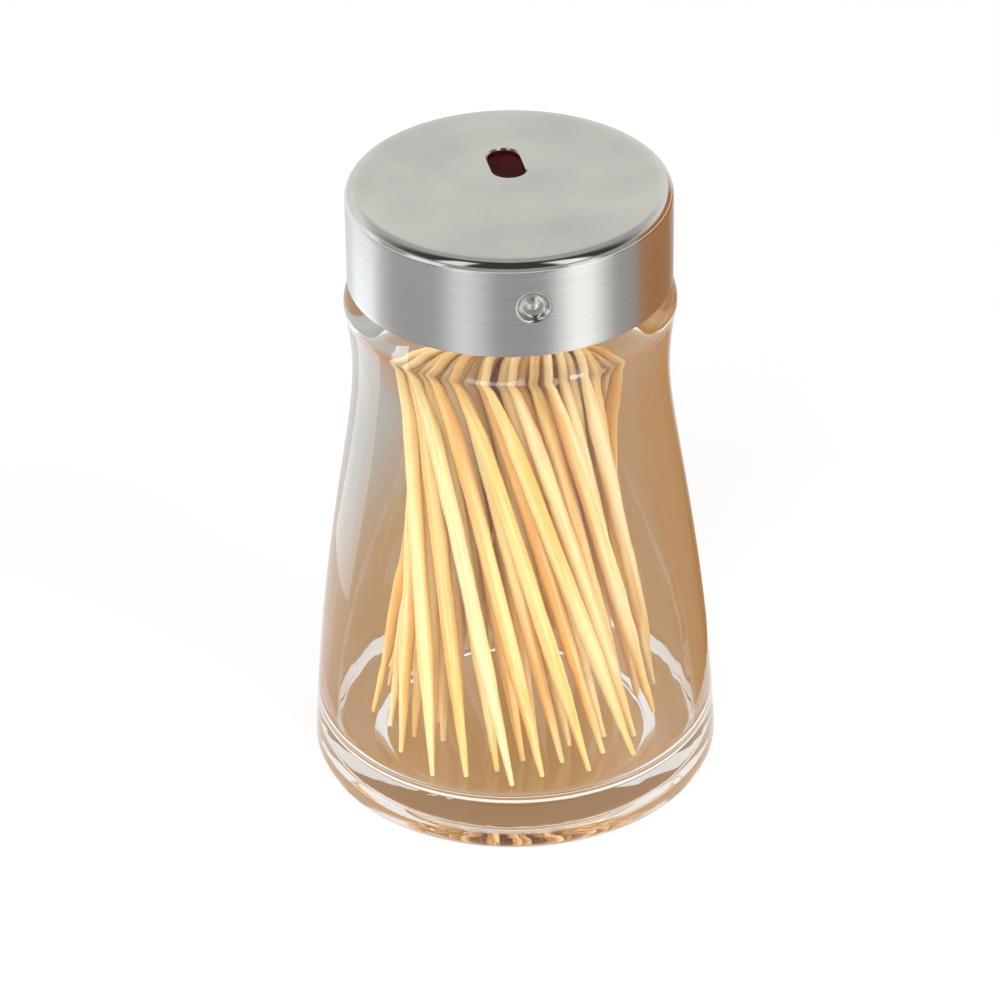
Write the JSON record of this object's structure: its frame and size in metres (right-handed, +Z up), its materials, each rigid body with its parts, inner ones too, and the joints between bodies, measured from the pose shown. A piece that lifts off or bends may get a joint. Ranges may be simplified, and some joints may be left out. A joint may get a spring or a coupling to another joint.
{
  "type": "toothpick dispenser",
  "caption": "Waisted clear glass table jar of wooden toothpicks, with a turning steel cap whose slot opens over the slot of a push-on plastic stopper.",
  "frame": {"origin": "centre of the jar's base on the table, on the jar's axis", "axes": "+Z up along the jar's axis; +Y along the cap's slot when it is shut, away from the axis; +X to the right of it seen from the front (-Y), where one dimple of the cap faces the viewer"},
  "size_m": [0.0524, 0.0524, 0.084],
  "materials": {
    "glass": "clear, fire-polished pressed glass",
    "maroon_plastic": "dark maroon moulded plastic, half matt",
    "steel": "satin drawn stainless steel, brushed round the skirt",
    "wood": "bare pale birch, fine straight grain"
  },
  "bodies": {
    "jar": {"glass_jar": "glass", "toothpick_01": "wood", "toothpick_02": "wood", "toothpick_03": "wood", "toothpick_04": "wood", "toothpick_05": "wood", "toothpick_06": "wood", "toothpick_07": "wood", "toothpick_08": "wood", "toothpick_09": "wood", "toothpick_10": "wood", "toothpick_11": "wood", "toothpick_12": "wood", "toothpick_13": "wood", "toothpick_14": "wood", "toothpick_15": "wood", "toothpick_16": "wood", "toothpick_17": "wood", "toothpick_18": "wood", "toothpick_19": "wood", "toothpick_20": "wood", "toothpick_21": "wood", "toothpick_22": "wood", "toothpick_23": "wood", "toothpick_24": "wood", "toothpick_25": "wood", "toothpick_26": "wood", "toothpick_27": "wood", "toothpick_28": "wood", "toothpick_29": "wood", "toothpick_30": "wood", "toothpick_31": "wood", "toothpick_32": "wood", "toothpick_33": "wood", "toothpick_34": "wood", "toothpick_35": "wood", "toothpick_36": "wood", "toothpick_37": "wood", "toothpick_38": "wood", "toothpick_39": "wood", "toothpick_40": "wood", "toothpick_41": "wood", "toothpick_42": "wood", "toothpick_43": "wood", "toothpick_44": "wood", "toothpick_45": "wood", "toothpick_46": "wood", "toothpick_47": "wood", "toothpick_48": "wood", "toothpick_49": "wood", "toothpick_50": "wood", "toothpick_51": "wood", "toothpick_52": "wood", "toothpick_53": "wood", "toothpick_54": "wood", "toothpick_55": "wood", "toothpick_56": "wood"},
    "stopper": {"inner_stopper": "maroon_plastic"},
    "cap": {"cap_shell": "steel"}
  },
  "joints": [
    {"name": "cap_pull", "type": "slide", "parent": "jar", "child": "stopper", "axis": [0, 0, 1], "range_m": [0, 0.03]},
    {"name": "shutter_turn", "type": "hinge", "parent": "stopper", "child": "cap", "pos_m": [0, 0, 0.0775], "axis": [0, 0, 1], "range_deg": [0, 90]}
  ]
}
